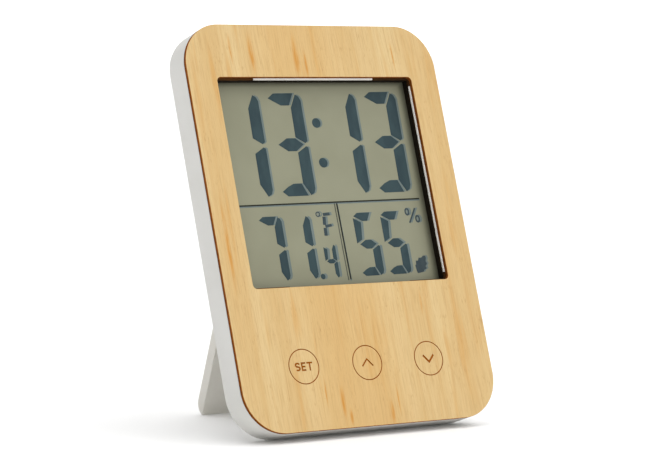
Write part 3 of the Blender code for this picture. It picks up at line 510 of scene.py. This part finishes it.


# The pale third colour is a painted highlight on the window's lips.
WHITE = plastic("white_plastic", srgb(219, 218, 214), srgb(214, 213, 208),
                lip_highlight=srgb(246, 244, 238))
DOOR_WHITE = plastic("white_plastic_door", srgb(220, 219, 215), srgb(216, 215, 210), 0.55 * MM)
# Painted light: the stand's white is tinted warmer than the case's, standing in for warm light
# bounced onto it.
STAND_WHITE = plastic("white_plastic_stand", srgb(223, 220, 212), srgb(218, 215, 206), 0.5 * MM)
SENSOR_WHITE = plastic("sensor_body", srgb(214, 212, 204), srgb(200, 198, 190), 0.3 * MM)
BAMBOO = bamboo()
ADHESIVE = speckled("adhesive_film", srgb(208, 204, 190), srgb(190, 186, 172), 0.8 * MM, 0.6)
FOAM = gasket_foam()
EPOXY = speckled("black_epoxy", srgb(24, 24, 26), srgb(44, 44, 46), 0.5 * MM, 0.38)
BLACK_LEAD = speckled("black_insulation", srgb(20, 20, 22), srgb(38, 38, 40), 0.6 * MM, 0.45)
RED_LEAD = speckled("red_insulation", srgb(170, 26, 22), srgb(142, 18, 16), 0.6 * MM, 0.45)
FILM = display_film()
INK = display_ink("display_segment", srgb(55, 73, 77), srgb(49, 66, 71))
# Painted shadow: paler copies of the segments, shifted aside, stand in for their shadows on the
# reflector.
INK_SHADOW = display_ink("display_segment_shadow", srgb(112, 124, 122), srgb(105, 118, 116))
SIGN_INK = display_ink("display_sign", srgb(64, 76, 80), srgb(57, 69, 74))
RULE = display_ink("display_rule", srgb(34, 36, 30), srgb(41, 43, 37))
FAINT_RULE = display_ink("display_faint_rule", srgb(80, 82, 72), srgb(90, 92, 80))
GLASS = glass()
BOARD = laminate()
RUBBER = striped_rubber()
JACKET = cell_jacket()
STEEL = metal("plated_steel", srgb(196, 198, 200), 0.24, (0.3 * MM, 0.3 * MM, 2.5 * MM))
SCREW_STEEL = metal("screw_steel", srgb(176, 178, 182), 0.28, (0.4 * MM, 0.4 * MM, 0.4 * MM))

NODE_LOOKS = {
    "panel_adhesive": ADHESIVE, "lcd_gasket": FOAM, "lcd_front_polarizer": FILM,
    "lcd_front_glass": GLASS, "lcd_rear_glass": GLASS, "lcd_reflector": FILM,
    "zebra_strip": RUBBER, "circuit_board": BOARD, "controller_chip": EPOXY,
    "clock_crystal": STEEL, "smoothing_capacitor": EPOXY, "touch_spring_set": STEEL,
    "touch_spring_up": STEEL, "touch_spring_down": STEEL, "humidity_sensor": SENSOR_WHITE,
    "thermistor": EPOXY, "battery_lower": JACKET, "battery_upper": JACKET,
    "contact_plate_negative": STEEL, "contact_plate_positive": STEEL, "contact_bridge": STEEL,
    "battery_spring_lower": STEEL, "battery_spring_upper": STEEL,
    "battery_wire_black": BLACK_LEAD, "battery_wire_red": RED_LEAD,
}


def dress_cad_nodes():
    """Gives every CAD node that stays in view its own procedural material."""
    looks = dict(NODE_LOOKS)
    for kind in ("case_screw", "board_screw"):
        looks.update({f"{kind}_{number}": SCREW_STEEL for number in range(1, 5)})
    for name, material in looks.items():
        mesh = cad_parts[name].data
        mesh.materials.clear()
        mesh.materials.append(material)


# Shapes

def add_object(name, data):
    item = bpy.data.objects.new(name, data)
    bpy.context.scene.collection.objects.link(item)
    return item


def to_mesh(shape, name):
    """The shape as a mesh with its faces turned outwards."""
    mesh = bpy.data.meshes.new(name)
    bmesh.ops.recalc_face_normals(shape, faces=shape.faces)
    shape.to_mesh(mesh)
    shape.free()
    return mesh


def add_piece(name, mesh, material, body="case"):
    """Adds a mesh shaped in the case's frame as a visible piece that moves with the body."""
    mesh.transform(CASE)
    piece = add_object(name, mesh)
    mesh.materials.clear()
    mesh.materials.append(material)
    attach(piece, body)
    return piece


def smooth(piece):
    """Shades the piece smooth, with sharp creases kept and flat faces left flat."""
    piece.data.shade_smooth()
    piece.data.set_sharp_from_angle(angle=CREASE_ANGLE)
    normals = piece.modifiers.new("face_weight", "WEIGHTED_NORMAL")
    normals.keep_sharp = True


def rounded_loop(half_width, z_range, radius, y, steps):
    """Points round a rounded rectangle at depth y."""
    low, high = z_range
    corners = ((half_width - radius, high - radius, 0), (radius - half_width, high - radius, 90),
               (radius - half_width, low + radius, 180), (half_width - radius, low + radius, 270))
    points = []
    for x, z, start in corners:
        for i in range(steps + 1):
            angle = math.radians(start + 90 * i / steps)
            points.append(Vector((x + radius * math.cos(angle), y, z + radius * math.sin(angle))))
    return points


def loft(loops):
    """A closed solid through loops of equal length, capped at both ends."""
    shape = bmesh.new()
    rings = [[shape.verts.new(point) for point in loop] for loop in loops]
    for first, second in zip(rings, rings[1:]):
        for i in range(len(first)):
            j = (i + 1) % len(first)
            shape.faces.new((first[i], first[j], second[j], second[i]))
    shape.faces.new(rings[0])
    shape.faces.new(rings[-1])
    return shape


def carve(mesh, cutters):
    """The mesh with every cutter shape taken out of it."""
    blank = add_object("blank", mesh)
    tools = []
    for number, shape in enumerate(cutters):
        cutter = add_object(f"cutter_{number}", to_mesh(shape, "cutter"))
        tools.append(cutter)
        modifier = blank.modifiers.new(cutter.name, "BOOLEAN")
        modifier.object = cutter
        modifier.solver = "EXACT"
    graph = bpy.context.evaluated_depsgraph_get()
    carved = bpy.data.meshes.new_from_object(blank.evaluated_get(graph))
    for helper in [blank, *tools]:
        bpy.data.objects.remove(helper)
    return carved


def stroke(points, width):
    """Outline of a pen stroke of even width along (x, z) points, mitred at its bends."""
    left, right = [], []
    for i, point in enumerate(points):
        before = (point - points[i - 1]).normalized() if i else None
        after = (points[i + 1] - point).normalized() if i + 1 < len(points) else None
        along = (before or after) + (after or before)
        along.normalize()
        side = Vector((-along.y, along.x))
        turn = along.dot(after or before)
        left.append(point + side * width / 2 / turn)
        right.append(point - side * width / 2 / turn)
    return left + right[::-1]


def add_prism(shape, outline, front, back):
    """Adds a closed plate with the (x, z) outline, between two depths."""
    near, far = ([shape.verts.new((point.x, depth, point.y)) for point in outline]
                 for depth in (front, back))
    shape.faces.new(near)
    shape.faces.new(far[::-1])
    for i in range(len(outline)):
        j = (i + 1) % len(outline)
        shape.faces.new((near[i], far[i], far[j], near[j]))


def add_band(shape, centre, radii, depths):
    """Adds a closed flat ring between two radii and two depths; its back is a little narrower."""
    inner, outer = radii
    draw = (outer - inner) * RING_DRAFT
    section = ((inner, depths[0]), (outer, depths[0]), (outer - draw, depths[1]),
               (inner + draw, depths[1]))
    rings = []
    for i in range(RING_STEPS):
        angle = 2 * math.pi * i / RING_STEPS
        rings.append([shape.verts.new((centre[0] + r * math.cos(angle), y,
                                       centre[1] + r * math.sin(angle))) for r, y in section])
    for i in range(RING_STEPS):
        first, second = rings[i], rings[(i + 1) % RING_STEPS]
        for j in range(len(section)):
            k = (j + 1) % len(section)
            shape.faces.new((first[j], first[k], second[k], second[j]))


# Bamboo panel

def letter_strokes(middle):
    """Centre lines of the word SET: those that stand apart, then those that join them."""
    half = LETTER_HALF_HEIGHT
    x, z = middle
    s_x, e_x, t_x = x - 2.4 * MM, x - 0.72 * MM, x + 2.28 * MM
    s_curve = [Vector((s_x + S_HALF_WIDTH, z + half - 0.4 * MM))]
    for start, stop, side in ((40, 250, 0.5), (70, -140, -0.5)):
        for i in range(S_STEPS + 1):
            angle = math.radians(start + (stop - start) * i / S_STEPS)
            s_curve.append(Vector((s_x + S_HALF_WIDTH * math.cos(angle),
                                   z + half * (side + 0.5 * math.sin(angle)))))
    apart = [s_curve,
             [Vector((e_x + E_ARM, z + half)), Vector((e_x, z + half)), Vector((e_x, z - half)),
              Vector((e_x + E_ARM, z - half))],
             [Vector((t_x - T_ARM, z + half)), Vector((t_x + T_ARM, z + half))]]
    joined = [[Vector((e_x - 0.1 * MM, z)), Vector((e_x + E_ARM * 0.9, z))],
              [Vector((t_x, z + half)), Vector((t_x, z - half - LETTER_WIDTH / 2))]]
    return apart, joined


def arrow(middle, way):
    """Centre line of a chevron that points up (way 1) or down (way -1)."""
    return [middle + Vector((side * ARROW_HALF_WIDTH, way * (ARROW_TOP - ARROW_HEIGHT * abs(side))))
            for side in (-1, 0, 1)]


def engraving():
    """Cutters for the rings and icons, in two sets, as no cutter may touch its own parts."""
    reach = (ENGRAVE_START, ENGRAVE_DEPTH)
    apart, joined = letter_strokes(KEYS["set"])
    first, second = bmesh.new(), bmesh.new()
    for middle in KEYS.values():
        add_band(first, middle, (KEY_RADIUS - RING_WIDTH / 2, KEY_RADIUS + RING_WIDTH / 2), reach)
    for points in apart:
        add_prism(first, stroke(points, LETTER_WIDTH), *reach)
    add_prism(first, stroke(arrow(KEYS["up"], 1), UP_WIDTH), *reach)
    add_prism(first, stroke(arrow(KEYS["down"], -1), DOWN_WIDTH), *reach)
    for points in joined:
        add_prism(second, stroke(points, LETTER_WIDTH), *reach)
    return [first, second]


def build_bamboo_panel():
    """The panel with broken edges, its window and its engraved keys, bedded onto the case."""
    low, high = case_box("front_panel")
    back = high.y + PANEL_BED
    profile = ((PANEL_ARRIS, 0.0), (PANEL_ARRIS * 0.3, PANEL_ARRIS * 0.3), (0.0, PANEL_ARRIS),
               (0.0, back - PANEL_ARRIS), (PANEL_ARRIS, back))
    plate = loft([rounded_loop(high.x - inset, (low.z + inset, high.z - inset), CORNER - inset,
                               y, CORNER_STEPS) for inset, y in profile])
    flare = ((PANEL_ARRIS + MM, -MM), (PANEL_ARRIS, 0.0), (PANEL_ARRIS * 0.3, PANEL_ARRIS * 0.3),
             (0.0, PANEL_ARRIS), (0.0, back + MM))
    window = loft([rounded_loop(WINDOW_HALF_WIDTH + grow,
                                (WINDOW_Z[0] - grow, WINDOW_Z[1] + grow),
                                WINDOW_CORNER + grow, y, WINDOW_CORNER_STEPS)
                   for grow, y in flare])
    mesh = carve(to_mesh(plate, "bamboo_panel"), [window, *engraving()])
    panel = add_piece("bamboo_panel", mesh, BAMBOO)
    smooth(panel)
    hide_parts("front_panel")


# White mouldings

def soften(node, name, width, material, body, splits=()):
    """A copy of a CAD moulding with its flat faces whole again and its outer edges rounded.

    splits are X positions, mirrored, at which it is cut across so that no face is a sliver.
    """
    shape = bmesh.new()
    shape.from_mesh(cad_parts[node].data)
    bmesh.ops.transform(shape, matrix=TO_CASE, verts=shape.verts)
    bmesh.ops.remove_doubles(shape, verts=shape.verts, dist=WELD_DISTANCE)
    bmesh.ops.dissolve_limit(shape, angle_limit=FLAT_ANGLE, verts=shape.verts, edges=shape.edges)
    for x in (side * split for split in splits for side in (-1, 1)):
        bmesh.ops.bisect_plane(shape, geom=[*shape.verts, *shape.edges, *shape.faces],
                               dist=SPLIT_REACH, plane_co=(x, 0, 0), plane_no=(1, 0, 0))
    bmesh.ops.triangulate(shape, faces=[face for face in shape.faces if len(face.verts) > 6])
    rounding = shape.edges.layers.float.new("bevel_weight_edge")
    for edge in shape.edges:
        sharp = edge.is_convex and edge.calc_face_angle() > CREASE_ANGLE
        edge[rounding] = 1.0 if sharp else 0.0
    piece = add_piece(name, to_mesh(shape, name), material, body)
    bevel = piece.modifiers.new("soft_edges", "BEVEL")
    bevel.width = width
    bevel.segments = EDGE_STEPS
    bevel.limit_method = "WEIGHT"
    bevel.use_clamp_overlap = False
    bevel.loop_slide = False
    smooth(piece)
    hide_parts(node)


# Display artwork

def segments(width, height, stroke_width):
    """Outlines of the seven segments of a digit, measured from its lower left corner."""
    w, h, t, m = width, height, stroke_width, height / 2
    outlines = {
        "a": [(0.2 * t, h - 0.38 * t), (0.75 * t, h), (w - 0.7 * t, h),
              (w - 1.2 * t, h - 0.97 * t), (1.3 * t, h - 0.97 * t)],
        "b": [(w - 0.5 * t, h - 0.1 * t), (w - 0.22 * t, h - 0.27 * t), (w - 0.05 * t, h - 0.6 * t),
              (w - 0.04 * t, m + 0.24 * t), (w - 0.26 * t, m + 0.07 * t),
              (w - 1.08 * t, m + 0.56 * t), (w - 1.06 * t, h - 1.16 * t)],
        "c": [(w - 0.24 * t, m - 0.17 * t), (w - 0.05 * t, m - 0.28 * t), (w - 0.04 * t, 0.55 * t),
              (w - 0.17 * t, 0.22 * t), (w - 0.5 * t, 0.02 * t), (w - 1.09 * t, 1.0 * t),
              (w - 1.08 * t, m - 0.66 * t)],
        "d": [(0.18 * t, 0.37 * t), (0.75 * t, 0.75 * t), (1.27 * t, 0.97 * t),
              (w - 1.22 * t, 0.97 * t), (w - 0.75 * t, 0.0), (0.65 * t, 0.0)],
        "f": [(0.1 * t, h - 0.58 * t), (1.1 * t, h - 1.1 * t), (0.9 * t, m + 0.56 * t),
              (0.13 * t, m + 0.11 * t)],
        "g": [(0.5 * t, m), (1.33 * t, m + 0.49 * t), (w - 1.13 * t, m + 0.48 * t),
              (w - 0.45 * t, m - 0.02 * t), (w - 1.18 * t, m - 0.54 * t),
              (1.3 * t, m - 0.53 * t)],
    }
    return {name: [Vector(point) for point in outline] for name, outline in outlines.items()}


def digit(text, size, right, base):
    """Outlines of one digit whose cell ends at the x coordinate right and stands on base."""
    width, height, stroke_width = size
    cell = segments(width, height, stroke_width)
    corner = Vector((right - width, base))
    return [[corner + point + Vector((GLYPH_SLANT * point.y, 0.0)) for point in cell[name]]
            for name in LIT[text]]


def dot(x, z, radius_x, radius_z):
    """Outline of an oval dot."""
    angles = [2 * math.pi * i / DOT_STEPS for i in range(DOT_STEPS)]
    return [Vector((x + radius_x * math.cos(angle), z + radius_z * math.sin(angle)))
            for angle in angles]


def half_ring(x, z, radius_x, radius_z, width, start):
    """Half of a small oval ring, as one outline, from the start angle on."""
    angles = [math.radians(start + 180 * i / HALF_RING_STEPS) for i in range(HALF_RING_STEPS + 1)]
    return stroke([Vector((x + radius_x * math.cos(angle), z + radius_z * math.sin(angle)))
                   for angle in angles], width)


def time_outlines():
    """Hours and minutes, with the two dots between them."""
    outlines = []
    for text, right in TIME_CELLS:
        outlines += digit(text, TIME_DIGIT, right * MM, TIME_BASE)
    for x, z in COLON_DOTS:
        outlines.append(dot(x * MM, z * MM, COLON_RADIUS, COLON_RADIUS))
    return outlines


def climate_outlines():
    """Temperature and humidity, with the small tenths digit and its point."""
    outlines = []
    for text, right in CLIMATE_CELLS:
        outlines += digit(text, CLIMATE_DIGIT, right * MM, CLIMATE_BASE)
    outlines += digit("4", TENTHS_DIGIT, TENTHS_END, CLIMATE_BASE)
    outlines.append(dot(*POINT_MIDDLE, *POINT_RADII))
    return outlines


def lines_of(strokes):
    """Outlines of straight strokes, each given in mm as its two ends and its width."""
    return [stroke([Vector(start) * MM, Vector(end) * MM], width * MM)
            for start, end, width in strokes]


def leaf(stem, tip):
    """Outline of a small leaf with a toothed edge, from its stem to its tip."""
    along = tip - stem
    side = Vector((-along.y, along.x)) * 0.3
    edge = []
    for i in range(2 * LEAF_TEETH):
        reach = (i + 1) / (2 * LEAF_TEETH + 1)
        bulge = math.sin(math.pi * reach ** 0.8) * (1.12 if i % 2 else 0.84)
        edge.append((reach + 0.05 * (i % 2), bulge))
    left = [stem + along * reach + side * bulge for reach, bulge in edge]
    right = [stem + along * reach - side * bulge for reach, bulge in reversed(edge)]
    return [stem, *left, tip, *right]


def sign_outlines():
    """The degree sign, the letter F, the per cent sign and a small leaf."""
    outlines = [half_ring(*DEGREE_RING, start) for start in (0, 180)]
    outlines += lines_of(SIGN_STROKES)
    for x, z in PER_CENT_RINGS:
        outlines += [half_ring(x * MM, z * MM, *PER_CENT_SIZE, start) for start in (0, 180)]
    outlines.append(leaf(LEAF_STEM, LEAF_TIP))
    return outlines


def turned(outline, shift=Vector((0.0, 0.0))):
    """The outline turned a little with the whole artwork, then shifted."""
    cos, sin = math.cos(ART_TURN), math.sin(ART_TURN)
    points = []
    for point in outline:
        arm = point - ART_MIDDLE
        points.append(ART_MIDDLE + shift
                      + Vector((arm.x * cos - arm.y * sin, arm.x * sin + arm.y * cos)))
    return points


def add_artwork(name, outlines, lift, material, shift=Vector((0.0, 0.0))):
    """Thin raised plates on the display film."""
    front = case_box("lcd_front_polarizer")[0].y
    shape = bmesh.new()
    for outline in outlines:
        add_prism(shape, turned(outline, shift), front - lift, front - lift / 4)
    piece = add_piece(name, to_mesh(shape, name), material)


def build_display():
    """The lit parts of the display with a painted shadow as their faint second image, and a paler
    upright line.
    """
    for name, outlines, material, shift in (
            ("time", time_outlines(), INK, TIME_SHADOW),
            ("climate", climate_outlines(), INK, CLIMATE_SHADOW),
            ("signs", sign_outlines(), SIGN_INK, SIGN_SHADOW),
            ("rules", lines_of(RULES), RULE, RULE_SHADOW)):
        add_artwork("display_" + name, outlines, ART_LIFT, material)
        add_artwork(f"display_{name}_shadow", outlines, SHADOW_LIFT, INK_SHADOW, shift)
    add_artwork("display_faint_rule", lines_of(FAINT_RULES), ART_LIFT, FAINT_RULE)


# Stage, light and camera

def build_floor():
    """A wide pale matte floor under the stand and the case."""
    look = Look("pale_floor", Specular_IOR_Level=0.2)
    cloud = look.noise((FLOOR_CLOUD,) * 3, 2.0)
    tint = look.mix(look.span(cloud, 0.3, 0.7), srgb(250, 250, 250), srgb(247, 247, 246))
    shape = bmesh.new()
    bmesh.ops.create_grid(shape, x_segments=1, y_segments=1, size=FLOOR_HALF)
    mesh = to_mesh(shape, "floor")
    mesh.materials.append(look.paint(tint, look.span(cloud, 0.3, 0.7, 0.75, 0.85)))
    floor = add_object("floor", mesh)
    floor.location.z = -FLOOR_DROP


def build_sky():
    """A white studio: bright overhead and along the horizon, dimmer towards the left wall."""
    world = bpy.data.worlds.new("studio")
    world.use_nodes = True
    bpy.context.scene.world = world
    nodes, links = world.node_tree.nodes, world.node_tree.links
    split = nodes.new("ShaderNodeSeparateXYZ")
    links.new(nodes.new("ShaderNodeTexCoord").outputs["Generated"], split.inputs[0])
    total = None
    for axis, spread in SKY_PARTS:
        ramp = smooth_ramp(nodes, *spread)
        links.new(split.outputs[axis], ramp.inputs["Value"])
        part = ramp.outputs["Result"]
        if total is not None:
            joint = nodes.new("ShaderNodeMath")
            links.new(total, joint.inputs[0])
            links.new(part, joint.inputs[1])
            part = joint.outputs["Value"]
        total = part
    background = nodes["Background"]
    background.inputs["Color"].default_value = (1.0, 1.0, 1.0, 1.0)
    links.new(total, background.inputs["Strength"])


def add_key_light():
    """Broad soft light from the upper right, the same all over the floor."""
    light = bpy.data.lights.new("key_light", "SUN")
    light.angle = KEY_ANGLE
    light.energy = KEY_STRENGTH
    lamp = add_object("key_light", light)
    lamp.rotation_mode = "QUATERNION"
    lamp.rotation_quaternion = (-Vector(KEY_FROM)).to_track_quat("-Z", "Y")


def build_camera():
    """The camera looks at its target from a little above and to the left."""
    data = bpy.data.cameras.new("camera")
    data.lens = CAMERA_LENS
    data.sensor_width = SENSOR_WIDTH
    data.clip_start, data.clip_end = CLIP
    camera = add_object("camera", data)
    ahead = Vector((math.sin(CAMERA_TURN) * math.cos(CAMERA_DROP),
                    math.cos(CAMERA_TURN) * math.cos(CAMERA_DROP), -math.sin(CAMERA_DROP)))
    turn = ahead.to_track_quat("-Z", "Y").to_matrix().to_4x4()
    camera.matrix_world = (Matrix.Translation(CAMERA_TARGET - ahead * CAMERA_DISTANCE) @ turn
                           @ Matrix.Rotation(CAMERA_ROLL, 4, "Z"))
    bpy.context.scene.camera = camera


build_camera()
build_floor()
build_sky()
add_key_light()
bpy.context.scene.view_settings.view_transform = "Standard"
dress_cad_nodes()
build_bamboo_panel()
soften("front_case", "case_shell", CASE_EDGE, WHITE, "case")
soften("rear_cover", "back_cover", COVER_EDGE, WHITE, "case", (NOTCH_SIDE,))
soften("battery_door", "cell_door", DOOR_EDGE, DOOR_WHITE, "battery_door", (LATCH_SIDE,))
soften("stand", "rear_stand", STAND_EDGE, STAND_WHITE, "stand")
build_display()
